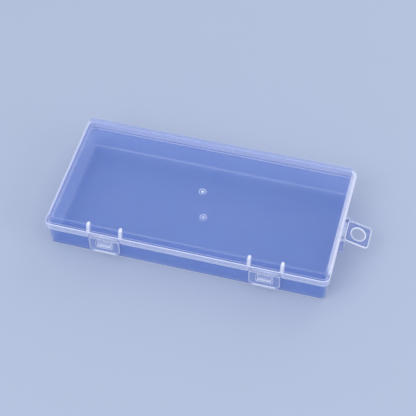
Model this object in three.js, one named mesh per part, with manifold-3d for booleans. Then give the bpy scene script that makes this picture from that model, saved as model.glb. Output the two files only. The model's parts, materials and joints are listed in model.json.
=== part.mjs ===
// Clear hinged storage box: a shallow tray and lid with two snap latches and a hang tab, moulded in one shot.
// Millimetres, +X along the length, +Y to the hinged back, +Z up. The origin is the middle of the underside.
// The box is shown closed, with the latches hooked and the hang tab a little below the horizontal.

import * as THREE from 'three';
import { mergeVertices } from 'three/addons/utils/BufferGeometryUtils.js';
import Module from 'manifold-3d';

const wasm = await Module();
wasm.setup();

// Overall size over the rims
const BOX_LENGTH = 175;
const BOX_WIDTH = 87.1;
const BOX_HEIGHT = 26.5;
const RIM_CORNER_RADIUS = 4;
const CORNER_FALL_SHARE = 0.6; // of the inset, by which a plan corner gets tighter

// Wall thicknesses
const WALL = 1.2;
const FLOOR = 1.4;
const LID_TOP = 1.2;

// Parting between tray and lid
const PARTING_HEIGHT = 19.2;
const PARTING_GAP = 0.3;

// Tray, measured inwards from the rim's outer face
const RIM_HEIGHT = 2.85;
const RIM_OVERHANG = 1.3;
const TRAY_DRAFT = 0.5; // how much further in the wall stands at the floor
const REBATE_INSET = 1.6; // of the rebate that takes the lid's lip
const REBATE_DEPTH = 1.65;
const TRAY_BOTTOM_FILLET = 1.2;
const TRAY_FLOOR_FILLET = 1.2;
const EDGE_ROUND = 0.25;

// Lid, measured inwards from the flange's outer face
const FLANGE_HEIGHT = 1.85;
const LID_OVERHANG = 1.6;
const LID_DRAFT = 0.15; // how much further in the wall stands at the top
const LID_TOP_FILLET = 1;
const LID_INNER_FILLET = 0.6;
const LIP_CLEARANCE = 0.3;
const LIP_WALL = 0.9;
const LIP_LEAD_IN = 0.25;

// Films that the moving pieces turn on
const FILM = 0.4;
const REAR_FILM_LENGTH = 141;
const REAR_FILM_SPACING = 1.2; // between its two legs
const REAR_FILM_STRAIGHT = 0.2;

// Latches
const LATCH_SPACING = 98.8;
const LATCH_WIDTH = 19.1;
const LATCH_TOP_HEIGHT = 18;
const LATCH_BOTTOM_HEIGHT = 5.3;
const LATCH_THICKNESS = 1.2;
const LATCH_SETBACK = 0.15; // of the latch's back behind the rims' outer face
const LATCH_TOP_RADIUS = 1.4;
const LATCH_BOTTOM_RADIUS = 3.6;
const WINDOW_WIDTH = 10;
const WINDOW_HEIGHT = 5.3;
const WINDOW_BOTTOM_HEIGHT = 10;
const WINDOW_RADIUS = 0.8;
const FINGER_LIP_REACH = 0.5; // out of the latch's face, for a fingertip
const FINGER_LIP_HEIGHT = 1.3;

// Films between the lid's flange and the latches
const LATCH_FILM_RISE = 0.45; // of the root above the flange's underside
const LATCH_FILM_BEND = 0.35;

// Notches in the tray's rim that let the latches lie flat
const NOTCH_SIDE_GAP = 0.8;
const NOTCH_DEPTH = 0.7;
const NOTCH_CORNER_RADIUS = 1;

// Catches on the tray's wall, one in each latch window
const CATCH_SIDE_GAP = 0.6;
const CATCH_SEAT_GAP = 0.3; // between the catch's ledge and the window's lower bar
const CATCH_TIP_SETBACK = 0.35; // behind the latch's outer face
const CATCH_TIP_HEIGHT = 2.2;
const CATCH_RAMP_HEIGHT = 2;

// Rounded ribs up the lid's front wall and over its top edge, on both sides of each latch
const RIB_RADIUS = 1.2;
const RIB_SIDE_OFFSET = 0.45; // of a rib's middle from the latch's side edge
const RIB_FOOT_SETBACK = 0.05; // behind the flange's outer face
const RIB_PROUD = 0.7; // in front of the wall, at the lid's top edge
const RIB_RISE = 0.3; // above the lid's top face
const RIB_TAIL = 1.25; // that runs back over the top

// Hang tab and its hole
const TAB_LENGTH = 15.3;
const TAB_WIDTH = 15.5;
const TAB_THICKNESS = 1.2;
const TAB_CORNER_RADIUS = 2;
const TAB_TILT = THREE.MathUtils.degToRad(16.5); // below the horizontal
const HOLE_RADIUS = 4.35;
const HOLE_OFFSET = 7.7; // of its middle from the tab's root edge

// Film between the tray's rim and the hang tab
const TAB_STANDOFF = 1.76; // of the tab's root edge from the rim's face, along the film
const TAB_DROP = 1.4; // of the film's middle under the rim's top
const TAB_FILM_WIDTH = 11.2; // between the bottoms of its two reliefs
const TAB_FILM_GAP = 0.3; // to the tab's root edge
const TAB_FILM_BEND = 3;
const RELIEF_RADIUS = 1;

// Lugs on both sides of the hang tab
const LUG_THICKNESS = 1;
const LUG_SIDE_GAP = 0.25;
const LUG_REACH = 2.6;
const LUG_BOTTOM_HEIGHT = 7;
const LUG_TOP_DROP = 0.85; // under the rim's top
const LUG_LOWER_RADIUS = 2.2;
const LUG_UPPER_RADIUS = 0.6;

// Gate marks: a round dimple with a nub, in the middle of the lid's top and of the tray's floor
const GATE_DIMPLE_RADIUS = 2.1;
const GATE_DIMPLE_DEPTH = 0.3;
const GATE_NUB_RADIUS = 0.6;
const GATE_NUB_SPREAD = 0.3; // by which the nub is wider at its root

// Colour and finish of the plastic
const PLASTIC_COLOUR = new THREE.Color(0.86, 0.89, 0.95);
const PLASTIC_OPACITY = 0.35;
const LID_ROUGHNESS = 0.2;
const TRAY_ROUGHNESS = 0.25;
const TAB_ROUGHNESS = 0.3;
const FILM_ROUGHNESS = 0.4;

// Facets
const PLAN_CORNER_STEPS = 10;
const FILLET_STEPS = 4;
const EDGE_STEPS = 2;
const OUTLINE_STEPS = 6;
const ROUND_STEPS = 40;
const FILM_STEPS = 10;
const RIB_STEPS = 16;

const OVERRUN = 1; // by which cutting and joining bodies run past a face
const WELD_DISTANCE = 0.0001;

// Heights and faces that follow from the sizes above
const trayTop = PARTING_HEIGHT - PARTING_GAP / 2;
const rimUnderside = trayTop - RIM_HEIGHT;
const ledgeHeight = trayTop - REBATE_DEPTH;
const trayFootInset = RIM_OVERHANG + TRAY_DRAFT;
const flangeUnderside = PARTING_HEIGHT + PARTING_GAP / 2;
const flangeTop = flangeUnderside + FLANGE_HEIGHT;
const lipBottom = ledgeHeight + PARTING_GAP;
const lipOuterInset = REBATE_INSET + LIP_CLEARANCE;
const lipInnerInset = lipOuterInset + LIP_WALL;
const lidHeadInset = LID_OVERHANG + LID_DRAFT;
const lidUnderside = BOX_HEIGHT - LID_TOP;
const frontFace = -BOX_WIDTH / 2;
const backFace = BOX_WIDTH / 2;
const rightFace = BOX_LENGTH / 2;
const latchBack = frontFace + LATCH_SETBACK;
const latchFront = latchBack - LATCH_THICKNESS;
const latchMiddle = latchBack - LATCH_THICKNESS / 2;
const tabPivotX = rightFace + TAB_STANDOFF / 2;
const tabPivotZ = trayTop - TAB_DROP;
const latchPlaces = { left: -LATCH_SPACING / 2, right: LATCH_SPACING / 2 };

const QUARTER = Math.PI / 2;
const point = (x, y) => new THREE.Vector2(x, y);

function named(name, geometry, roughness) {
  const material = new THREE.MeshStandardMaterial({
    color: PLASTIC_COLOUR,
    roughness,
    metalness: 0,
    transparent: true,
    opacity: PLASTIC_OPACITY,
  });
  const mesh = new THREE.Mesh(geometry, material);
  mesh.name = name;
  return mesh;
}

// A closed geometry as a solid for joining and cutting.
function solidOf(geometry) {
  const bare = new THREE.BufferGeometry();
  const separate = geometry.index ? geometry.toNonIndexed() : geometry;
  bare.setAttribute('position', separate.getAttribute('position'));
  const welded = mergeVertices(bare, WELD_DISTANCE);
  const corners = welded.index.array;
  const kept = [];
  for (let i = 0; i < corners.length; i += 3) {
    const [a, b, c] = corners.subarray(i, i + 3);
    if (a !== b && b !== c && c !== a) {
      kept.push(a, b, c);
    }
  }
  return new wasm.Manifold(new wasm.Mesh({
    numProp: 3,
    vertProperties: new Float32Array(welded.getAttribute('position').array),
    triVerts: new Uint32Array(kept),
  }));
}

function geometryOf(solid) {
  const mesh = solid.getMesh();
  const geometry = new THREE.BufferGeometry();
  geometry.setAttribute('position', new THREE.BufferAttribute(new Float32Array(mesh.vertProperties), 3));
  geometry.setIndex(new THREE.BufferAttribute(new Uint32Array(mesh.triVerts), 1));
  geometry.computeVertexNormals();
  return geometry;
}

const join = (solid, parts) => parts.reduce((whole, part) => whole.add(part), solid);
const cut = (solid, parts) => parts.reduce((whole, part) => whole.subtract(part), solid);

// Points on an arc about (x, y), both ends included, from one angle to another.
function arc(x, y, radius, from, to, steps) {
  return Array.from({ length: steps + 1 }, (_, i) => {
    const angle = THREE.MathUtils.lerp(from, to, i / steps);
    return point(x + radius * Math.cos(angle), y + radius * Math.sin(angle));
  });
}

// The box's outline in plan, drawn in by an inset from the rims' outer face, at a height.
function planRing(inset, height) {
  const radius = RIM_CORNER_RADIUS - inset * CORNER_FALL_SHARE;
  const x = BOX_LENGTH / 2 - inset - radius;
  const y = BOX_WIDTH / 2 - inset - radius;
  const centres = [[x, y], [-x, y], [-x, -y], [x, -y]];
  return centres.flatMap(([cx, cy], quarter) => (
    arc(cx, cy, radius, quarter * QUARTER, (quarter + 1) * QUARTER, PLAN_CORNER_STEPS)
      .map((p) => new THREE.Vector3(p.x, p.y, height))
  ));
}

// Solid body of the box's plan, whose side follows a section of (inset, height) points from bottom to top.
function bodyFrom(section) {
  const rings = section.map((p) => planRing(p.x, p.y));
  const around = rings[0].length;
  const corners = rings.flat();
  const triangles = [];
  const eachSide = (row, add) => {
    for (let i = 0; i < around; i += 1) {
      add(row * around + i, row * around + ((i + 1) % around));
    }
  };
  for (let row = 0; row + 1 < rings.length; row += 1) {
    eachSide(row, (a, b) => triangles.push(a, b, b + around, a, b + around, a + around));
  }
  const last = rings.length - 1;
  const bottomMiddle = corners.push(new THREE.Vector3(0, 0, section[0].y)) - 1;
  eachSide(0, (a, b) => triangles.push(bottomMiddle, b, a));
  const topMiddle = corners.push(new THREE.Vector3(0, 0, section[last].y)) - 1;
  eachSide(last, (a, b) => triangles.push(topMiddle, a, b));
  const geometry = new THREE.BufferGeometry().setFromPoints(corners);
  geometry.setIndex(triangles);
  return solidOf(geometry);
}

// A flat outline in X and Z, thickened along Y from one face to another.
function plateAcrossY(shape, fromY, toY) {
  const geometry = new THREE.ExtrudeGeometry(shape, { depth: toY - fromY, bevelEnabled: false });
  geometry.rotateX(QUARTER);
  return geometry.translate(0, toY, 0);
}

// A flat outline in Y and Z, run along X about the middle of the box.
function stripAlongX(points, length) {
  const geometry = new THREE.ExtrudeGeometry(new THREE.Shape(points), { depth: length, bevelEnabled: false });
  geometry.rotateX(QUARTER);
  geometry.rotateZ(QUARTER);
  return geometry.translate(-length / 2, 0, 0);
}

// A flat outline thickened evenly about z = 0, with softly rounded edges.
function softPlate(shape, thickness) {
  const geometry = new THREE.ExtrudeGeometry(shape, {
    depth: thickness - 2 * EDGE_ROUND,
    bevelThickness: EDGE_ROUND,
    bevelSize: EDGE_ROUND,
    bevelOffset: -EDGE_ROUND,
    bevelSegments: EDGE_STEPS,
  });
  return geometry.translate(0, 0, EDGE_ROUND - thickness / 2);
}

// Outline that is even about x = 0, between a low and a high edge, with round corners.
function roundedOutline(halfWidth, low, high, lowRadius, highRadius) {
  const lowX = halfWidth - lowRadius;
  const highX = halfWidth - highRadius;
  const lowY = low + lowRadius;
  const highY = high - highRadius;
  return [
    ...arc(highX, highY, highRadius, 0, QUARTER, OUTLINE_STEPS),
    ...arc(-highX, highY, highRadius, QUARTER, Math.PI, OUTLINE_STEPS),
    ...arc(-lowX, lowY, lowRadius, -Math.PI, -QUARTER, OUTLINE_STEPS),
    ...arc(lowX, lowY, lowRadius, -QUARTER, 0, OUTLINE_STEPS),
  ];
}

// The outline of a film that follows a centre line.
function filmOutline(centres) {
  const last = centres.length - 1;
  const side = (offset) => centres.map((p, i) => {
    const along = centres[Math.min(i + 1, last)].clone().sub(centres[Math.max(i - 1, 0)]).normalize();
    return point(p.x - along.y * offset, p.y + along.x * offset);
  });
  return [...side(FILM / 2), ...side(-FILM / 2).reverse()];
}

// How far the tray's outer wall stands in from the rims' outer face, at a height.
function trayWallInset(height) {
  const share = (height - TRAY_BOTTOM_FILLET) / (rimUnderside - TRAY_BOTTOM_FILLET);
  return THREE.MathUtils.lerp(trayFootInset, RIM_OVERHANG, share);
}

function trayOutside() {
  const fillet = TRAY_BOTTOM_FILLET;
  const r = EDGE_ROUND;
  return bodyFrom([
    ...arc(trayFootInset + fillet, fillet, fillet, -QUARTER, -Math.PI, FILLET_STEPS),
    point(RIM_OVERHANG, rimUnderside),
    ...arc(r, rimUnderside + r, r, -QUARTER, -Math.PI, EDGE_STEPS),
    ...arc(r, trayTop - r, r, Math.PI, QUARTER, EDGE_STEPS),
  ]);
}

function trayCavity() {
  const fillet = TRAY_FLOOR_FILLET;
  const r = EDGE_ROUND;
  return bodyFrom([
    ...arc(trayFootInset + WALL + fillet, FLOOR + fillet, fillet, -QUARTER, -Math.PI, FILLET_STEPS),
    ...arc(RIM_OVERHANG + WALL - r, ledgeHeight - r, r, 0, QUARTER, EDGE_STEPS),
    point(REBATE_INSET, ledgeHeight),
    ...arc(REBATE_INSET - r, trayTop - r, r, 0, QUARTER, EDGE_STEPS),
    point(REBATE_INSET - r, trayTop + OVERRUN),
  ]);
}

function lidOutside() {
  const fillet = LID_TOP_FILLET;
  const r = EDGE_ROUND;
  return bodyFrom([
    point(lipOuterInset + LIP_LEAD_IN, lipBottom),
    point(lipOuterInset, lipBottom + LIP_LEAD_IN),
    point(lipOuterInset, flangeUnderside),
    ...arc(r, flangeUnderside + r, r, -QUARTER, -Math.PI, EDGE_STEPS),
    ...arc(r, flangeTop - r, r, Math.PI, QUARTER, EDGE_STEPS),
    point(LID_OVERHANG, flangeTop),
    ...arc(lidHeadInset + fillet, BOX_HEIGHT - fillet, fillet, Math.PI, QUARTER, FILLET_STEPS),
  ]);
}

function lidCavity() {
  const fillet = LID_INNER_FILLET;
  return bodyFrom([
    point(lipInnerInset, lipBottom - OVERRUN),
    point(Math.max(lipInnerInset, LID_OVERHANG + WALL), flangeTop),
    ...arc(lidHeadInset + WALL + fillet, lidUnderside - fillet, fillet, Math.PI, QUARTER, FILLET_STEPS),
  ]);
}

// Ring that is cut down into a face at a height, and leaves a gate mark's nub standing in its middle.
function gateCutter(height) {
  const nubRoot = GATE_NUB_RADIUS + GATE_NUB_SPREAD;
  const section = [
    point(nubRoot, -GATE_DIMPLE_DEPTH),
    point(GATE_DIMPLE_RADIUS, -GATE_DIMPLE_DEPTH),
    point(GATE_DIMPLE_RADIUS, OVERRUN),
    point(GATE_NUB_RADIUS, OVERRUN),
    point(GATE_NUB_RADIUS, 0),
    point(nubRoot, -GATE_DIMPLE_DEPTH),
  ];
  const geometry = new THREE.LatheGeometry(section, ROUND_STEPS);
  geometry.rotateX(QUARTER);
  return solidOf(geometry.translate(0, 0, height));
}

// Body that clears the rim behind a latch. Its foot flares, which rounds the corners of the rim's cut ends.
function notchCutter(latchX) {
  const half = LATCH_WIDTH / 2 + NOTCH_SIDE_GAP;
  const r = NOTCH_CORNER_RADIUS;
  const foot = rimUnderside + r;
  const shape = new THREE.Shape([
    point(half, trayTop + OVERRUN),
    point(-half, trayTop + OVERRUN),
    ...arc(-half - r, foot, r, 0, -QUARTER, FILLET_STEPS),
    point(-half - r, rimUnderside - OVERRUN),
    point(half + r, rimUnderside - OVERRUN),
    ...arc(half + r, foot, r, -QUARTER, -Math.PI, FILLET_STEPS),
  ]);
  const geometry = plateAcrossY(shape, frontFace - OVERRUN, frontFace + NOTCH_DEPTH);
  return solidOf(geometry.translate(latchX, 0, 0));
}

// Wedge with a flat ledge underneath, which the lower bar of the latch's window hooks under.
function catchBody(latchX) {
  const ledge = WINDOW_BOTTOM_HEIGHT + CATCH_SEAT_GAP;
  const tipTop = ledge + CATCH_TIP_HEIGHT;
  const tip = latchFront + CATCH_TIP_SETBACK;
  const wall = frontFace + trayWallInset(ledge);
  const r = EDGE_ROUND;
  const geometry = stripAlongX([
    point(wall + WALL, ledge),
    point(wall + WALL, tipTop + CATCH_RAMP_HEIGHT),
    point(wall, tipTop + CATCH_RAMP_HEIGHT),
    ...arc(tip + r, tipTop, r, Math.PI - QUARTER / 2, Math.PI, EDGE_STEPS),
    ...arc(tip + r, ledge + r, r, Math.PI, Math.PI + QUARTER, EDGE_STEPS),
  ], WINDOW_WIDTH - 2 * CATCH_SIDE_GAP);
  return solidOf(geometry.translate(latchX, 0, 0));
}

// Upright plate beside the hang tab, on the side of Y that the sign gives, with a large round low down.
function lug(side) {
  const root = rightFace - trayFootInset - WALL;
  const outer = rightFace + LUG_REACH;
  const top = trayTop - LUG_TOP_DROP;
  const low = LUG_LOWER_RADIUS;
  const high = LUG_UPPER_RADIUS;
  const shape = new THREE.Shape([
    point(root, top),
    point(root, LUG_BOTTOM_HEIGHT),
    ...arc(outer - low, LUG_BOTTOM_HEIGHT + low, low, -QUARTER, 0, FILLET_STEPS),
    ...arc(outer - high, top - high, high, 0, QUARTER, FILLET_STEPS),
  ]);
  const near = side * (TAB_WIDTH / 2 + LUG_SIDE_GAP);
  const far = near + side * LUG_THICKNESS;
  return solidOf(plateAcrossY(shape, Math.min(near, far), Math.max(near, far)));
}

function baseTray() {
  const places = Object.values(latchPlaces);
  const outside = join(trayOutside(), [...places.map(catchBody), lug(1), lug(-1)]);
  const tray = cut(outside, [trayCavity(), ...places.map(notchCutter), gateCutter(FLOOR)]);
  return named('base_tray', geometryOf(tray), TRAY_ROUGHNESS);
}

// Round bar from one point to another, with a dome about each.
function roundBar(from, to) {
  const geometry = new THREE.CapsuleGeometry(RIB_RADIUS, from.distanceTo(to), FILLET_STEPS, RIB_STEPS);
  const lean = to.clone().sub(from).normalize();
  geometry.applyQuaternion(new THREE.Quaternion().setFromUnitVectors(new THREE.Vector3(0, 1, 0), lean));
  const middle = from.clone().add(to).divideScalar(2);
  return solidOf(geometry.translate(middle.x, middle.y, middle.z));
}

// Rib that climbs from the flange up the lid's front wall, bends over the top edge and ends on the top.
function rib(x) {
  const foot = new THREE.Vector3(x, frontFace + RIB_FOOT_SETBACK + RIB_RADIUS, flangeTop);
  const bendY = frontFace + lidHeadInset - RIB_PROUD + RIB_RADIUS;
  const bend = new THREE.Vector3(x, bendY, BOX_HEIGHT + RIB_RISE - RIB_RADIUS);
  const tail = new THREE.Vector3(x, bendY + RIB_TAIL, bend.z);
  return roundBar(foot, bend).add(roundBar(bend, tail));
}

function lid() {
  const offset = LATCH_WIDTH / 2 + RIB_SIDE_OFFSET;
  const ribs = Object.values(latchPlaces).flatMap((x) => [rib(x - offset), rib(x + offset)]);
  const shell = cut(join(lidOutside(), ribs), [lidCavity(), gateCutter(BOX_HEIGHT)]);
  return named('lid', geometryOf(shell), LID_ROUGHNESS);
}

// Loop behind the rims that joins lid and tray across the parting.
function rearHingeFilm() {
  const r = REAR_FILM_SPACING / 2;
  const centres = [
    point(backFace, PARTING_HEIGHT - r),
    ...arc(backFace + REAR_FILM_STRAIGHT, PARTING_HEIGHT, r, -QUARTER, QUARTER, FILM_STEPS),
    point(backFace, PARTING_HEIGHT + r),
  ];
  return named('rear_hinge_film', stripAlongX(filmOutline(centres), REAR_FILM_LENGTH), FILM_ROUGHNESS);
}

// Plate with a window for the catch and a lip along its lower edge.
function latch() {
  const half = LATCH_WIDTH / 2;
  const bottom = LATCH_BOTTOM_HEIGHT;
  const sill = WINDOW_BOTTOM_HEIGHT;
  const corner = WINDOW_RADIUS;
  const shape = new THREE.Shape(
    roundedOutline(half, bottom, LATCH_TOP_HEIGHT, LATCH_BOTTOM_RADIUS, LATCH_TOP_RADIUS),
  );
  shape.holes.push(new THREE.Path(
    roundedOutline(WINDOW_WIDTH / 2, sill, sill + WINDOW_HEIGHT, corner, corner),
  ));
  const plate = softPlate(shape, LATCH_THICKNESS);
  const geometry = geometryOf(solidOf(plate).add(fingerLip(half - LATCH_BOTTOM_RADIUS, bottom)));
  geometry.rotateX(QUARTER);
  return geometry.translate(0, latchMiddle, 0);
}

// Bar with round ends, half sunk in the latch's face, between the round corners of its lower edge.
function fingerLip(flatHalf, bottom) {
  const round = FINGER_LIP_HEIGHT / 2;
  const outline = roundedOutline(flatHalf + round, bottom, bottom + FINGER_LIP_HEIGHT, round, round);
  const bar = softPlate(new THREE.Shape(outline), 2 * FINGER_LIP_REACH);
  return solidOf(bar.translate(0, 0, LATCH_THICKNESS / 2));
}

// Film that leaves the flange's outer face, bends down and meets the latch's top edge.
function latchFilm() {
  const bendY = latchMiddle + LATCH_FILM_BEND;
  const root = flangeUnderside + LATCH_FILM_RISE;
  const centres = [
    point(frontFace, root),
    ...arc(bendY, root - LATCH_FILM_BEND, LATCH_FILM_BEND, QUARTER, Math.PI, FILM_STEPS),
    point(latchMiddle, LATCH_TOP_HEIGHT),
  ];
  return stripAlongX(filmOutline(centres), LATCH_WIDTH - 2 * LATCH_TOP_RADIUS);
}

// Plate with the hanging hole, turned about the middle of its film.
function hangTab() {
  const root = TAB_STANDOFF / 2;
  const corner = TAB_CORNER_RADIUS;
  const shape = new THREE.Shape(roundedOutline(TAB_WIDTH / 2, root, root + TAB_LENGTH, corner, corner));
  const hole = arc(0, root + HOLE_OFFSET, HOLE_RADIUS, 0, 4 * QUARTER, ROUND_STEPS);
  shape.holes.push(new THREE.Path(hole.slice(1)));
  const plate = solidOf(softPlate(shape, TAB_THICKNESS).rotateZ(-QUARTER));
  const mesh = named('hang_tab', geometryOf(plate), TAB_ROUGHNESS);
  mesh.position.set(tabPivotX, 0, tabPivotZ);
  mesh.rotation.y = TAB_TILT;
  return mesh;
}

// Film between the rim and the hang tab, with a half-round relief at each end.
function hangTabFilm() {
  const bend = TAB_FILM_BEND;
  const reach = TAB_STANDOFF / 2 - TAB_FILM_GAP;
  const bendX = tabPivotX - bend * Math.tan(TAB_TILT / 2);
  const centres = [
    point(rightFace, tabPivotZ),
    ...arc(bendX, tabPivotZ - bend, bend, QUARTER, QUARTER - TAB_TILT, FILM_STEPS),
    point(tabPivotX + reach * Math.cos(TAB_TILT), tabPivotZ - reach * Math.sin(TAB_TILT)),
  ];
  const half = TAB_FILM_WIDTH / 2 + RELIEF_RADIUS;
  const strip = plateAcrossY(new THREE.Shape(filmOutline(centres)), -half, half);
  const reliefs = [half, -half].map((y) => {
    const height = TAB_THICKNESS + 2 * OVERRUN;
    const cylinder = new THREE.CylinderGeometry(RELIEF_RADIUS, RELIEF_RADIUS, height, ROUND_STEPS);
    return solidOf(cylinder.rotateX(QUARTER).translate(tabPivotX, y, tabPivotZ));
  });
  return named('hang_tab_film', geometryOf(cut(solidOf(strip), reliefs)), FILM_ROUGHNESS);
}

const box = new THREE.Group();
box.add(baseTray(), lid(), rearHingeFilm(), hangTab(), hangTabFilm());
for (const [side, x] of Object.entries(latchPlaces)) {
  const group = new THREE.Group();
  group.position.x = x;
  group.add(named(`latch_${side}`, latch(), TAB_ROUGHNESS));
  group.add(named(`latch_film_${side}`, latchFilm(), FILM_ROUGHNESS));
  box.add(group);
}

export default box;
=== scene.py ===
"""Clear hinged storage box: its finishes, living hinges, floor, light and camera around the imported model.

Everything is in metres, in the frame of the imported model: +X along the length to the hang tab, +Y to the
hinged back, +Z up, and the origin in the middle of the underside.
"""

import functools
import json
import logging
import math
from dataclasses import dataclass, field
from enum import Enum
from typing import Any

import bmesh
import bpy
from mathutils import Matrix, Vector


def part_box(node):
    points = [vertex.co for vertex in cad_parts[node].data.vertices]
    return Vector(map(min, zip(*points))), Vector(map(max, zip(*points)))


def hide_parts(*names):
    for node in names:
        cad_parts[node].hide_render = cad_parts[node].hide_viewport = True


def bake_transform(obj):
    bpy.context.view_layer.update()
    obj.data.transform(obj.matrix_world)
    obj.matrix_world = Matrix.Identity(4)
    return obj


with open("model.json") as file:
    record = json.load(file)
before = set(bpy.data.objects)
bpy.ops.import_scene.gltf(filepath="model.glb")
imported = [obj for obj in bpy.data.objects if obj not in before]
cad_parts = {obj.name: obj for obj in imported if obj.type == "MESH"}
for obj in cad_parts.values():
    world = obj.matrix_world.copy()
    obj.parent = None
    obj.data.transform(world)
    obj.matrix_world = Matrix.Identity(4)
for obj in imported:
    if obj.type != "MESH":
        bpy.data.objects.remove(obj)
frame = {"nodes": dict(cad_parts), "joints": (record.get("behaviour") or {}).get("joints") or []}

LOG = logging.getLogger("storage_box")
MM = 0.001

Colour = tuple[float, float, float, float]
Operand = "Value | float"


def mm(length: float) -> float:
    """Return a length in millimetres as metres."""
    return length * MM


def srgb(red: int, green: int, blue: int) -> Colour:
    """Turn a colour as a screen shows it into the linear one that a shader takes.

    Args:
        red: Red, 0 to 255.
        green: Green, 0 to 255.
        blue: Blue, 0 to 255.

    Returns:
        The linear colour with an alpha of 1.
    """
    full, knee, slope, offset, power = 255, 0.04045, 12.92, 0.055, 2.4
    shares = [channel / full for channel in (red, green, blue)]
    linear = [s / slope if s <= knee else ((s + offset) / (1 + offset)) ** power for s in shares]
    return (*linear, 1.0)


class Side(Enum):
    """The side of the front on which a latch stands, as its pieces are named."""

    LEFT = "left"
    RIGHT = "right"


class Value:
    """A number socket whose arithmetic adds Math nodes to its shader."""

    def __init__(self, shader: "Shader", socket: bpy.types.NodeSocket) -> None:
        """Keep the shader that owns the nodes, and the socket."""
        self.shader = shader
        self.socket = socket

    def _math(self, operation: str, first: Operand, second: Operand) -> "Value":
        """Add one Math node.

        Args:
            operation: The node's operation.
            first: The first operand.
            second: The second operand.

        Returns:
            The node's result.
        """
        node = self.shader.node("ShaderNodeMath", {"operation": operation}, {0: first, 1: second})
        return Value(self.shader, node.outputs[0])

    def __add__(self, other: Operand) -> "Value":
        """Return this plus other."""
        return self._math("ADD", self, other)

    def __radd__(self, other: Operand) -> "Value":
        """Return other plus this."""
        return self._math("ADD", other, self)

    def __sub__(self, other: Operand) -> "Value":
        """Return this less other."""
        return self._math("SUBTRACT", self, other)

    def __rsub__(self, other: Operand) -> "Value":
        """Return other less this."""
        return self._math("SUBTRACT", other, self)

    def __mul__(self, other: Operand) -> "Value":
        """Return this times other."""
        return self._math("MULTIPLY", self, other)

    def __rmul__(self, other: Operand) -> "Value":
        """Return other times this."""
        return self._math("MULTIPLY", other, self)

    def __abs__(self) -> "Value":
        """Return this without its sign."""
        return self._math("ABSOLUTE", self, 0.0)

    def lower_of(self, other: Operand) -> "Value":
        """Return the lower of this and other."""
        return self._math("MINIMUM", self, other)

    def higher_of(self, other: Operand) -> "Value":
        """Return the higher of this and other."""
        return self._math("MAXIMUM", self, other)

    def root(self) -> "Value":
        """Return this one's square root."""
        return self._math("SQRT", self, 0.0)

    def between(self, low: float, high: float, soft: float) -> "Value":
        """Give 1 between two limits and 0 outside them.

        Args:
            low: The lower limit, which may be minus infinity.
            high: The higher limit, which may be infinity.
            soft: Half the width over which it changes at a limit.

        Returns:
            The mask.
        """
        masks = [
            self.rise(limit - way * soft, limit + way * soft)
            for limit, way in ((low, 1), (high, -1))
            if not math.isinf(limit)
        ]
        return math.prod(masks[1:], start=masks[0])

    def rise(self, start: float, end: float) -> "Value":
        """Rise smoothly from 0 to 1 as this goes from start to end.

        Args:
            start: Where the rise begins.
            end: Where it has reached 1. It may be lower than start.

        Returns:
            The smooth step.
        """
        inputs = {"Value": self, "From Min": start, "From Max": end}
        node = self.shader.node("ShaderNodeMapRange", {"interpolation_type": "SMOOTHSTEP"}, inputs)
        return Value(self.shader, node.outputs["Result"])


@dataclass(frozen=True)
class Grain:
    """Soft noise: its blotches' size in metres, its finer octaves, and its scale along X, Y and Z."""

    size: float
    octaves: float
    scale: tuple[float, float, float] = (1, 1, 1)


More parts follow.
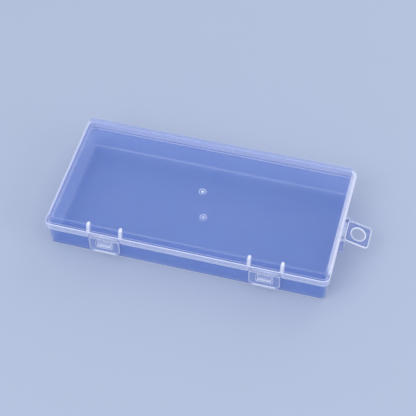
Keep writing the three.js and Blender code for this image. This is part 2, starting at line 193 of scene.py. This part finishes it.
class Shader:
    """One material and the nodes that make it."""

    EDGE_SAMPLES = 8
    LEAST_BEND = 0.01
    FIRST_COLOUR = 6
    SECOND_COLOUR = 7
    MIXED_COLOUR = 2

    def __init__(self, name: str) -> None:
        """Start an empty material.

        Args:
            name: The material's name.
        """
        self.material = bpy.data.materials.new(name)
        self.material.use_nodes = True
        self.tree = self.material.node_tree
        self.tree.nodes.clear()
        self._places: dict[str, Value] = {}

    def node(self, kind: str, settings: dict[str, Any], inputs: dict[Any, Any]) -> bpy.types.Node:
        """Add a node.

        Args:
            kind: The node's type.
            settings: Its properties, which are set first.
            inputs: The values or links of its sockets, by name or number.

        Returns:
            The node.
        """
        node = self.tree.nodes.new(kind)
        for name, setting in settings.items():
            setattr(node, name, setting)
        for key, given in inputs.items():
            source = given.socket if isinstance(given, Value) else given
            if isinstance(source, bpy.types.NodeSocket):
                self.tree.links.new(source, node.inputs[key])
            else:
                node.inputs[key].default_value = source
        return node

    def place(self, axis: str) -> Value:
        """Give one of the surface point's own coordinates, in metres.

        Args:
            axis: "X", "Y" or "Z".

        Returns:
            That coordinate.
        """
        if not self._places:
            texture = self.node("ShaderNodeTexCoord", {}, {})
            split = self.node("ShaderNodeSeparateXYZ", {}, {"Vector": texture.outputs["Object"]})
            self._places = {name: Value(self, split.outputs[name]) for name in "XYZ"}
        return self._places[axis]

    def upright(self) -> Value:
        """Find the faces that stand upright on the piece.

        Returns:
            1 on them and 0 on level ones.
        """
        texture = self.node("ShaderNodeTexCoord", {}, {})
        split = self.node("ShaderNodeSeparateXYZ", {}, {"Vector": texture.outputs["Normal"]})
        return 1.0 - abs(Value(self, split.outputs["Z"]))

    def grazing(self) -> Value:
        """Give 0 where the surface is seen square on, and 1 where it is seen along itself."""
        return Value(self, self.node("ShaderNodeLayerWeight", {}, {}).outputs["Facing"])

    def stretched(self, scale: tuple[float, float, float]) -> bpy.types.NodeSocket:
        """Give the surface point scaled along each axis.

        Args:
            scale: The scale along X, Y and Z.

        Returns:
            The scaled point.
        """
        texture = self.node("ShaderNodeTexCoord", {}, {})
        inputs = {0: texture.outputs["Object"], 1: scale}
        node = self.node("ShaderNodeVectorMath", {"operation": "MULTIPLY"}, inputs)
        return node.outputs["Vector"]

    def noise(self, grain: Grain) -> Value:
        """Give soft noise between 0 and 1.

        Args:
            grain: Its size, octaves and scale.

        Returns:
            The noise.
        """
        inputs = {"Vector": self.stretched(grain.scale), "Scale": 1 / grain.size, "Detail": grain.octaves}
        node = self.node("ShaderNodeTexNoise", {"noise_dimensions": "3D"}, inputs)
        return Value(self, node.outputs[0])

    def edge(self, radius: float, strength: float) -> Value:
        """Find the edges and small rounds of the piece.

        Args:
            radius: How far from the edge it reaches, in metres.
            strength: How fast it rises to 1.

        Returns:
            About 1 on an edge and 0 on flat faces.
        """
        rounded = self.node("ShaderNodeBevel", {"samples": self.EDGE_SAMPLES}, {"Radius": radius})
        true = self.node("ShaderNodeNewGeometry", {}, {})
        inputs = {0: rounded.outputs["Normal"], 1: true.outputs["True Normal"]}
        dot = self.node("ShaderNodeVectorMath", {"operation": "DOT_PRODUCT"}, inputs)
        bend = 1.0 - abs(Value(self, dot.outputs["Value"]))
        return bend.rise(self.LEAST_BEND, 1 / strength)

    def mixed(self, first: Any, second: Any, share: Operand) -> bpy.types.NodeSocket:
        """Mix two colours.

        Args:
            first: The colour where share is 0.
            second: The colour where share is 1.
            share: The mask between them.

        Returns:
            The mixed colour.
        """
        inputs = {"Factor": share, self.FIRST_COLOUR: first, self.SECOND_COLOUR: second}
        node = self.node("ShaderNodeMix", {"data_type": "RGBA"}, inputs)
        return node.outputs[self.MIXED_COLOUR]

    def bump(self, height: Value, distance: float, strength: float) -> bpy.types.NodeSocket:
        """Turn a height into a normal.

        Args:
            height: The height, 0 to 1.
            distance: What a height of 1 measures, in metres.
            strength: The share of it that shows.

        Returns:
            The bent normal.
        """
        inputs = {"Height": height, "Distance": distance, "Strength": strength}
        return self.node("ShaderNodeBump", {}, inputs).outputs["Normal"]

    def finish(self, inputs: dict[str, Any]) -> bpy.types.Material:
        """Close the material with a Principled surface.

        Args:
            inputs: The values or links of the surface's sockets.

        Returns:
            The material.
        """
        surface = self.node("ShaderNodeBsdfPrincipled", {}, inputs)
        self.node("ShaderNodeOutputMaterial", {}, {"Surface": surface.outputs["BSDF"]})
        return self.material


class PaintedGlow:
    """A place on a piece where a highlight is painted, standing in for light that the plastic gathers."""

    def mask(self, shader: Shader) -> Value:
        """Give the place's mask.

        Args:
            shader: The shader that takes it.

        Returns:
            The place's strength on it and 0 elsewhere.
        """
        raise NotImplementedError


@dataclass(frozen=True)
class Plane:
    """A flat piece's own plane: where its middle is, and how far its length tilts below +X."""

    middle: Vector = Vector((0, 0, 0))
    tilt: float = 0.0

    def along(self, shader: Shader) -> Value:
        """Give a point's place along the plane's length."""
        ahead = (shader.place("X") - self.middle.x) * math.cos(self.tilt)
        return ahead - (shader.place("Z") - self.middle.z) * math.sin(self.tilt)

    def across(self, shader: Shader) -> Value:
        """Give a point's place across the plane's length."""
        return shader.place("Y") - self.middle.y

    def out(self, shader: Shader) -> Value:
        """Give a point's distance from the middle, in the plane."""
        return far(self.along(shader), self.across(shader))


def far(first: Value, second: Value) -> Value:
    """Give the length of the vector with these two parts."""
    return (first * first + second * second).root()


@dataclass(frozen=True)
class Outline:
    """A rectangle with round corners in a plane."""

    half_length: float
    half_width: float
    corner: float
    plane: Plane = Plane()

    def inset(self, shader: Shader) -> Value:
        """Give how far a point stands in from the outline.

        Args:
            shader: The shader that takes it.

        Returns:
            The distance, which is negative outside the outline.
        """
        along = abs(self.plane.along(shader)) - (self.half_length - self.corner)
        across = abs(self.plane.across(shader)) - (self.half_width - self.corner)
        past = far(along.higher_of(0.0), across.higher_of(0.0))
        return self.corner - past - along.higher_of(across).lower_of(0.0)


@dataclass(frozen=True)
class Share:
    """How strong a painted highlight line is on the box's front, on which the light falls, and how strong
    elsewhere, where the light falls differently.
    """

    front: float
    elsewhere: float

    def strength(self, behind: Value) -> Value:
        """Give the strength where behind is 0 on the front and 1 elsewhere."""
        return self.front + (self.elsewhere - self.front) * behind


@dataclass(frozen=True)
class Line:
    """A stretch of the box's section that carries a painted highlight line, between two heights and two
    insets from the rims' outer face.
    """

    low: float
    high: float
    outer: float
    inner: float
    share: Share


@dataclass(frozen=True)
class RimLines(PaintedGlow):
    """Painted highlight lines that run round the box."""

    outline: Outline
    lines: tuple[Line, ...]
    soft: float = mm(0.12)

    def mask(self, shader: Shader) -> Value:
        """Give the mask of all the lines.

        Args:
            shader: The shader that takes it.

        Returns:
            Each line's strength on it and 0 elsewhere.
        """
        inset = self.outline.inset(shader)
        height = shader.place("Z")
        front = self.outline.corner - self.outline.half_width
        behind = shader.place("Y").rise(front, front + self.outline.corner)
        masks = [
            inset.between(line.outer, line.inner, self.soft)
            * height.between(line.low, line.high, self.soft)
            * line.share.strength(behind)
            for line in self.lines
        ]
        return functools.reduce(Value.higher_of, masks)


@dataclass(frozen=True)
class CutEdges(PaintedGlow):
    """A painted highlight along the outline of a plate and in a ring about its hole."""

    outline: Outline
    hole: Plane
    hole_radius: float
    line: float = mm(0.5)
    soft: float = mm(0.12)

    def mask(self, shader: Shader) -> Value:
        """Give the mask of both.

        Args:
            shader: The shader that takes it.

        Returns:
            1 on the outline and on the ring, and 0 elsewhere.
        """
        rim = self.outline.inset(shader).rise(self.line + self.soft, self.line - self.soft)
        edge = self.hole_radius + self.line
        return rim.higher_of(self.hole.out(shader).rise(edge + self.soft, edge - self.soft))


@dataclass(frozen=True)
class GateMark(PaintedGlow):
    """A painted highlight on the nub where the plastic was let in, and a fainter one on the ring of its
    dimple.
    """

    low: float
    high: float
    dimple_radius: float = mm(2.1)
    ring_strength: float = 0.65
    line: float = mm(0.3)
    nub_radius: float = mm(0.75)
    soft: float = mm(0.12)

    def mask(self, shader: Shader) -> Value:
        """Give the mark's mask.

        Args:
            shader: The shader that takes it.

        Returns:
            1 on the nub, the ring's strength on the ring and 0 elsewhere.
        """
        out = Plane().out(shader)
        ring = out.between(self.dimple_radius - self.line, self.dimple_radius + self.line, self.soft)
        nub = out.rise(self.nub_radius + self.soft, self.nub_radius - self.soft)
        either = (self.ring_strength * ring).higher_of(nub)
        return either * shader.place("Z").between(self.low, self.high, self.soft)


@dataclass(frozen=True)
class Rib(PaintedGlow):
    """A painted highlight along a rib up the lid's front wall and on its round head on the lid's top."""

    middle: float
    low: float
    head: float
    radius: float
    head_radius: float
    top: float
    strength: float = 0.88
    soft: float = mm(0.1)

    def mask(self, shader: Shader) -> Value:
        """Give the rib's mask.

        Args:
            shader: The shader that takes it.

        Returns:
            The rib's strength on it and 0 elsewhere.
        """
        height = shader.place("Z")
        aside = abs(shader.place("X") - self.middle)
        behind = shader.place("Y") - self.head
        reach = far(aside, behind.higher_of(0.0))
        half = self.radius + (self.head_radius - self.radius) * height.rise(self.low, self.top)
        above = height.rise(self.low - self.soft, self.low + self.soft)
        return self.strength * (half - reach).rise(-self.soft, self.soft) * above


@dataclass(frozen=True)
class ClearPlastic:
    """Clear polypropylene, a little milky, with highlights painted on its rims, ribs and edges and a painted
    sheen where it is seen along itself, standing in for light that the plastic gathers.

    Each opacity is that of one surface, and a wall has two.
    """

    body: Colour = srgb(112, 150, 232)
    painted_glow: Colour = srgb(240, 243, 255)
    level_opacity: float = 0.17
    upright_opacity: float = 0.24
    painted_glow_opacity: float = 0.9
    edge_reach: float = mm(1.0)
    edge_strength: float = 14.0
    painted_edge_glow: float = 0.9
    sheen_from: float = 0.76
    sheen_to: float = 0.96
    sheen: float = 0.95
    cloud: Grain = Grain(mm(38), 2.0, (1, 1.6, 2))
    cloud_least: float = 0.86
    cloud_swing: float = 0.28
    streaks: Grain = Grain(mm(1.6), 3.0, (0.12, 1, 1))
    streak_least: float = 0.9
    streak_swing: float = 0.2
    roughness: float = 0.22
    scuffs: Grain = Grain(mm(2.2), 5.0)
    scuff_from: float = 0.45
    scuff_to: float = 0.8
    scuff_roughness: float = 0.1
    ripple: Grain = Grain(mm(9), 1.0)
    ripple_depth: float = mm(0.02)
    ripple_strength: float = 0.6
    specular: float = 0.9
    coat: float = 0.8
    coat_roughness: float = 0.07

    def dress(self, name: str, painted_highlights: list[PaintedGlow]) -> bpy.types.Material:
        """Make the plastic for one piece.

        Args:
            name: The material's name.
            painted_highlights: The places of the piece where highlights are painted.

        Returns:
            The material.
        """
        shader = Shader(name)
        cloud = self.cloud_least + self.cloud_swing * shader.noise(self.cloud)
        # Painted highlights: edges, a painted sheen where the surface is seen along itself, and the given
        # places turn whiter and more opaque, standing in for light that the plastic gathers.
        painted_glow = self.painted_edge_glow * shader.edge(self.edge_reach, self.edge_strength)
        painted_glow = painted_glow.higher_of(self.sheen * shader.grazing().rise(self.sheen_from, self.sheen_to))
        for place in painted_highlights:
            painted_glow = painted_glow.higher_of(place.mask(shader))
        streaks = self.streak_least + self.streak_swing * shader.noise(self.streaks)
        wall = self.level_opacity + (self.upright_opacity - self.level_opacity) * shader.upright()
        scuffs = shader.noise(self.scuffs).rise(self.scuff_from, self.scuff_to)
        ripple = shader.noise(self.ripple)
        return shader.finish(
            {
                "Base Color": shader.mixed(self.body, self.painted_glow, painted_glow.root()),
                "Alpha": wall * cloud + painted_glow * (self.painted_glow_opacity - self.level_opacity) * streaks,
                "Roughness": self.roughness + self.scuff_roughness * scuffs,
                "Specular IOR Level": self.specular,
                "Coat Weight": self.coat,
                "Coat Roughness": self.coat_roughness,
                "Normal": shader.bump(ripple, self.ripple_depth, self.ripple_strength),
            }
        )


@dataclass(frozen=True)
class BentFilm:
    """The same plastic as a thin film, a little whitened where it bends."""

    clear: Colour = srgb(192, 207, 252)
    whitened: Colour = srgb(240, 243, 255)
    crease: Grain = Grain(mm(0.7), 3.0, (0.1, 1, 1))
    white_from: float = 0.35
    white_to: float = 0.7
    opacity: float = 0.6
    white_opacity: float = 0.2
    roughness: float = 0.32
    crease_roughness: float = 0.12
    crease_depth: float = mm(0.05)
    crease_strength: float = 0.5
    specular: float = 0.8

    def dress(self, name: str) -> bpy.types.Material:
        """Make the film's plastic.

        Args:
            name: The material's name.

        Returns:
            The material.
        """
        shader = Shader(name)
        crease = shader.noise(self.crease)
        white = crease.rise(self.white_from, self.white_to)
        return shader.finish(
            {
                "Base Color": shader.mixed(self.clear, self.whitened, white),
                "Alpha": self.opacity + self.white_opacity * white,
                "Roughness": self.roughness + self.crease_roughness * crease,
                "Specular IOR Level": self.specular,
                "Normal": shader.bump(crease, self.crease_depth, self.crease_strength),
            }
        )


@dataclass
class Moulding:
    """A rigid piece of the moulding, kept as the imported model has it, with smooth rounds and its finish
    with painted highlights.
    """

    node: str
    painted_highlights: list[PaintedGlow] = field(default_factory=list)
    crease_angle: float = math.radians(50)
    weld: float = mm(0.001)
    face_weight: int = 100

    def dress(self, finish: ClearPlastic) -> None:
        """Smooth the piece's rounds and give it the finish.

        Args:
            finish: The plastic.
        """
        piece = frame["nodes"][self.node]
        modifier = piece.modifiers.new("smooth_rounds", "NODES")
        modifier.node_group = smooth_rounds(self.crease_angle, self.weld)
        flats = piece.modifiers.new("flat_faces", "WEIGHTED_NORMAL")
        flats.keep_sharp = True
        flats.weight = self.face_weight
        piece.data.materials[0] = finish.dress(f"{self.node}_plastic", self.painted_highlights)
        LOG.info("dressed %s", self.node)


def smooth_rounds(crease_angle: float, weld: float) -> bpy.types.NodeTree:
    """Make the modifier that joins a mesh's faces and shades its rounds smooth.

    Args:
        crease_angle: The bend above which an edge stays sharp, in radians.
        weld: The distance below which points are one, in metres.

    Returns:
        The node group.
    """
    name = "smooth_rounds"
    if name in bpy.data.node_groups:
        return bpy.data.node_groups[name]
    group = bpy.data.node_groups.new(name, "GeometryNodeTree")
    group.interface.new_socket("Mesh", in_out="INPUT", socket_type="NodeSocketGeometry")
    group.interface.new_socket("Mesh", in_out="OUTPUT", socket_type="NodeSocketGeometry")
    start = group.nodes.new("NodeGroupInput")
    end = group.nodes.new("NodeGroupOutput")
    merged = group.nodes.new("GeometryNodeMergeByDistance")
    merged.inputs["Distance"].default_value = weld
    plain = group.nodes.new("GeometryNodeSetMeshNormal")
    plain.mode = "SHARPNESS"
    angle = group.nodes.new("GeometryNodeInputMeshEdgeAngle")
    sharp = group.nodes.new("FunctionNodeCompare")
    sharp.data_type = "FLOAT"
    sharp.operation = "GREATER_THAN"
    sharp.inputs["B"].default_value = crease_angle
    group.links.new(start.outputs[0], merged.inputs["Geometry"])
    group.links.new(merged.outputs["Geometry"], plain.inputs["Mesh"])
    group.links.new(angle.outputs["Unsigned Angle"], sharp.inputs["A"])
    group.links.new(sharp.outputs["Result"], plain.inputs["Edge Sharpness"])
    plain.inputs["Face Sharpness"].default_value = False
    plain.inputs["Remove Custom"].default_value = True
    group.links.new(plain.outputs["Mesh"], end.inputs[0])
    return group


@dataclass
class LivingHinge:
    """A film between two bodies, shown as the imported model has it."""

    node: str
    name: str
    fixed_body: str
    moving_body: str
    start: Vector
    end: Vector
    weld: float = mm(0.001)

    def build(self, finish: bpy.types.Material) -> None:
        """Make a smooth copy of the film in place of the rigid one.

        Args:
            finish: The film's material.
        """
        mesh = frame["nodes"][self.node].data.copy()
        mesh.name = self.name
        work = bmesh.new()
        work.from_mesh(mesh)
        bmesh.ops.remove_doubles(work, verts=work.verts, dist=self.weld)
        for face in work.faces:
            face.smooth = True
        work.to_mesh(mesh)
        work.free()
        film = bpy.data.objects.new(self.name, mesh)
        bpy.context.scene.collection.objects.link(film)
        mesh.materials.clear()
        mesh.materials.append(finish)
        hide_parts(self.node)
        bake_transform(film)
        LOG.info("built %s", self.name)


@dataclass
class PhotoCamera:
    """The camera at the photograph's viewing angle."""

    azimuth: float = math.radians(16.093)
    elevation: float = math.radians(51.335)
    roll: float = math.radians(-1.171)
    distance: float = mm(799.71)
    shift_right: float = mm(2.949)
    shift_up: float = mm(6.574)
    focal_pixels: float = 1284.03
    image_pixels: float = 416
    sensor: float = 36
    nearest: float = mm(10)

    def build(self) -> None:
        """Make the scene's camera."""
        flat = math.cos(self.elevation)
        back = Vector(
            (math.sin(self.azimuth) * flat, -math.cos(self.azimuth) * flat, math.sin(self.elevation))
        )
        level = Vector((0, 0, 1)).cross(back).normalized()
        upright = back.cross(level)
        right = level * math.cos(self.roll) + upright * math.sin(self.roll)
        up = upright * math.cos(self.roll) - level * math.sin(self.roll)
        data = bpy.data.cameras.new("photo_camera")
        data.sensor_width = self.sensor
        data.lens = self.focal_pixels / self.image_pixels * self.sensor
        data.clip_start = self.nearest
        camera = bpy.data.objects.new("photo_camera", data)
        turn = Matrix((right, up, back)).transposed().to_4x4()
        place = back * self.distance + right * self.shift_right + up * self.shift_up
        camera.matrix_world = Matrix.Translation(place) @ turn
        bpy.context.scene.collection.objects.link(camera)
        bpy.context.scene.camera = camera


@dataclass
class SoftLamp:
    """A large soft lamp that faces the box. Its size is in metres and its power in watts."""

    name: str
    place: Vector
    size: float
    power: float

    def build(self) -> None:
        """Make the lamp."""
        data = bpy.data.lights.new(self.name, "AREA")
        data.shape = "SQUARE"
        data.size = self.size
        data.energy = self.power
        lamp = bpy.data.objects.new(self.name, data)
        lamp.location = self.place
        lamp.rotation_mode = "QUATERNION"
        lamp.rotation_quaternion = (-self.place).to_track_quat("-Z", "Y")
        bpy.context.scene.collection.objects.link(lamp)


@dataclass
class Studio:
    """The plain pale floor, the lamps and the surrounding light."""

    floor_colour: Colour = srgb(176, 187, 210)
    floor_shade: float = 0.985
    floor_grain: Grain = Grain(mm(60), 2.0)
    floor_roughness: float = 0.75
    floor_specular: float = 0.2
    floor_half: float = 4.0
    floor_gap: float = mm(0.2)
    world_colour: Colour = srgb(244, 247, 255)
    world_strength: float = 0.82

    def build(self) -> None:
        """Make the floor, the lamps and the world."""
        self._floor()
        self._world()
        lamps = [
            SoftLamp("key_lamp", place=Vector((-0.45, -0.7, 0.95)), size=0.8, power=4.3),
            SoftLamp("back_lamp", place=Vector((0.3, 1.1, 0.6)), size=0.8, power=2.9),
            SoftLamp("side_lamp", place=Vector((1.1, -0.2, 0.5)), size=0.6, power=2.8),
        ]
        for lamp in lamps:
            lamp.build()
        view = bpy.context.scene.view_settings
        view.view_transform = "Standard"

    def _floor(self) -> None:
        """Make the floor, open to a camera below it."""
        half = self.floor_half
        mesh = bpy.data.meshes.new("floor")
        corners = [(-half, -half, 0), (half, -half, 0), (half, half, 0), (-half, half, 0)]
        mesh.from_pydata(corners, [], [(0, 1, 2, 3)])
        floor = bpy.data.objects.new("floor", mesh)
        floor.location.z = -self.floor_gap
        bpy.context.scene.collection.objects.link(floor)
        shader = Shader("floor_finish")
        grain = shader.noise(self.floor_grain)
        darker = tuple(self.floor_shade * channel for channel in self.floor_colour[:3]) + (1.0,)
        inputs = {
            "Base Color": shader.mixed(darker, self.floor_colour, grain),
            "Roughness": self.floor_roughness,
            "Specular IOR Level": self.floor_specular,
        }
        solid = shader.node("ShaderNodeBsdfPrincipled", {}, inputs)
        clear = shader.node("ShaderNodeBsdfTransparent", {}, {})
        below = shader.node("ShaderNodeNewGeometry", {}, {}).outputs["Backfacing"]
        inputs = {"Fac": below, 1: solid.outputs["BSDF"], 2: clear.outputs["BSDF"]}
        either = shader.node("ShaderNodeMixShader", {}, inputs)
        shader.node("ShaderNodeOutputMaterial", {}, {"Surface": either.outputs["Shader"]})
        mesh.materials.append(shader.material)

    def _world(self) -> None:
        """Make the even light that comes from all round."""
        world = bpy.data.worlds.new("studio_world")
        world.use_nodes = True
        background = world.node_tree.nodes["Background"]
        background.inputs["Color"].default_value = self.world_colour
        background.inputs["Strength"].default_value = self.world_strength
        bpy.context.scene.world = world


@dataclass
class StorageBox:
    """The whole box: tray, lid, latches and hang tab, and the films between them."""

    tray_plastic: ClearPlastic = ClearPlastic(level_opacity=0.27, upright_opacity=0.36)
    lid_plastic: ClearPlastic = ClearPlastic(
        body=srgb(104, 152, 255), level_opacity=0.11, upright_opacity=0.17, painted_edge_glow=0.5
    )
    # The latches' body is lighter than the tray's, a painted lift against the shade between latch and tray.
    latch_plastic: ClearPlastic = ClearPlastic(body=srgb(178, 196, 242), upright_opacity=0.3, painted_edge_glow=1.0)
    tab_plastic: ClearPlastic = ClearPlastic(body=srgb(84, 116, 190), level_opacity=0.5, upright_opacity=0.5)
    film: BentFilm = BentFilm()
    half_length: float = mm(87.5)
    half_width: float = mm(43.55)
    corner: float = mm(4)
    line: float = mm(0.4)
    inner_face: float = mm(2.2)
    rim_height: float = mm(2.85)
    foot_inset: float = mm(1.8)
    foot_fillet: float = mm(1.2)
    foot_line_top: float = mm(1.5)
    floor: float = mm(1.4)
    catch_middle: float = mm(12.2)
    catch_root: float = mm(1.0)
    lip_height: float = mm(1.65)
    flange_height: float = mm(1.85)
    flange_reach: float = mm(1.6)
    top_fillet: float = mm(1)
    rib_radius: float = mm(1.15)
    rib_offset: float = mm(0.45)
    rib_rise: float = mm(0.3)
    rib_head: float = mm(3.3)
    rib_head_radius: float = mm(1.0)
    tab_length: float = mm(15.3)
    tab_width: float = mm(15.5)
    tab_corner: float = mm(2)
    tab_standoff: float = mm(1.76)
    tab_tilt: float = math.radians(16.5)
    hole_offset: float = mm(7.7)
    hole_radius: float = mm(4.35)
    # Strengths of the painted highlight lines, on the front and elsewhere, set apart to follow where the
    # light falls.
    rim_band: Share = Share(0.45, 0.45)
    rim_inside: Share = Share(0.0, 0.95)
    rim_edge: Share = Share(0.95, 0.95)
    foot_edge: Share = Share(1.0, 0.1)
    catch_tip: Share = Share(0.85, 0.15)
    catch_ramp: Share = Share(0.2, 0.15)
    flange_band: Share = Share(0.45, 0.45)
    flange_inside: Share = Share(0.0, 0.95)
    flange_foot: Share = Share(0.85, 0.95)
    flange_edge: Share = Share(0.95, 1.0)
    flange_face: Share = Share(0.0, 0.9)
    top_edge: Share = Share(0.05, 0.5)

    def build(self) -> None:
        """Dress the rigid pieces and build the films."""
        Moulding("base_tray", self._tray_painted_glow()).dress(self.tray_plastic)
        Moulding("lid", self._lid_painted_glow()).dress(self.lid_plastic)
        for side in Side:
            Moulding(f"latch_{side.value}").dress(self.latch_plastic)
        Moulding("hang_tab", [self._tab_painted_glow()]).dress(self.tab_plastic)
        self._films()

    def _outline(self) -> Outline:
        """Give the rims' outline."""
        return Outline(self.half_length, self.half_width, self.corner)

    def _tray_painted_glow(self) -> list[PaintedGlow]:
        """Find where highlights are painted on the tray.

        Returns:
            The painted highlights of the rim with its inside and lower edge, the foot's edge, the catches and
            lugs, and the gate mark.
        """
        line = self.line
        inside = self.inner_face
        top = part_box("base_tray")[1].z
        foot = top - self.rim_height
        lines = (
            Line(foot, top - line, -line, inside, self.rim_band),
            Line(foot + line, top + line, inside, self.half_width, self.rim_inside),
            Line(foot, foot + line, -line, self.foot_inset, self.rim_edge),
            Line(line, self.foot_line_top, self.foot_inset - line, inside, self.foot_edge),
            Line(self.foot_fillet, self.catch_middle, -math.inf, self.catch_root, self.catch_tip),
            Line(self.foot_fillet, foot - line, -math.inf, self.catch_root, self.catch_ramp),
        )
        gate = GateMark(-line, self.floor + line)
        return [RimLines(self._outline(), lines), gate]

    def _lid_painted_glow(self) -> list[PaintedGlow]:
        """Find where highlights are painted on the lid.

        Returns:
            The painted highlights of the flange with its inside, edges and upper face, the top edge, the gate
            mark and the ribs.
        """
        line = self.line
        inside = self.inner_face
        low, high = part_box("lid")
        top = high.z - self.rib_rise
        foot = low.z + self.lip_height
        edge = foot + self.flange_height
        top_inset = self.flange_reach + self.top_fillet
        lines = (
            Line(foot, edge - line, -line, inside, self.flange_band),
            Line(foot - line, edge + self.flange_height, inside, self.half_width, self.flange_inside),
            Line(foot, foot + line, -line, line, self.flange_foot),
            Line(edge - line, edge + line, -line, line, self.flange_edge),
            Line(edge - line, edge + line, line, self.flange_reach, self.flange_face),
            Line(top - self.top_fillet, top + line, self.flange_reach, top_inset, self.top_edge),
        )
        gate = GateMark(top - line, top + line)
        return [RimLines(self._outline(), lines), gate, *self._ribs(edge, top)]

    def _ribs(self, low: float, top: float) -> list[Rib]:
        """Find the painted highlights of the four ribs beside the latches.

        Args:
            low: The ribs' lowest height.
            top: The height of the lid's top face.

        Returns:
            Each rib's painted highlight.
        """
        head = self.rib_head - self.half_width
        ribs = []
        for side in Side:
            latch_low, latch_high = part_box(f"latch_{side.value}")
            for middle in (latch_low.x - self.rib_offset, latch_high.x + self.rib_offset):
                ribs.append(Rib(middle, low, head, self.rib_radius, self.rib_head_radius, top))
        return ribs

    def _tab_painted_glow(self) -> CutEdges:
        """Find where highlights are painted on the hang tab.

        Returns:
            The painted highlights of its outline and the ring about its hole.
        """
        pivot = next(Vector(joint["pos_m"]) for joint in frame["joints"] if joint["child"] == "hang_tab")
        ahead = Vector((math.cos(self.tab_tilt), 0, -math.sin(self.tab_tilt)))
        root = pivot + ahead * self.tab_standoff / 2
        plate = Plane(root + ahead * self.tab_length / 2, self.tab_tilt)
        outline = Outline(self.tab_length / 2, self.tab_width / 2, self.tab_corner, plate)
        return CutEdges(outline, Plane(root + ahead * self.hole_offset, self.tab_tilt), self.hole_radius)

    def _films(self) -> None:
        """Build the four films."""
        finish = self.film.dress("bent_film_plastic")
        low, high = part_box("rear_hinge_film")
        start = Vector((0, high.y, low.z))
        end = Vector((0, high.y, high.z))
        LivingHinge("rear_hinge_film", "rear_living_hinge", "base", "lid", start, end).build(finish)
        for side in Side:
            word = side.value
            node = f"latch_film_{word}"
            low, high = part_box(node)
            start = Vector((0, high.y, high.z))
            end = Vector((0, low.y, low.z))
            LivingHinge(node, f"latch_living_hinge_{word}", "lid", f"latch_{word}", start, end).build(finish)
        low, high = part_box("hang_tab_film")
        start = Vector((low.x, 0, high.z))
        end = Vector((high.x, 0, high.z))
        LivingHinge("hang_tab_film", "tab_living_hinge", "base", "hang_tab", start, end).build(finish)


def main() -> None:
    """Build the camera, the studio and the box."""
    logging.basicConfig(level=logging.INFO, format="%(name)s: %(message)s")
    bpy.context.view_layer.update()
    PhotoCamera().build()
    Studio().build()
    StorageBox().build()


if __name__ == "__main__":
    main()
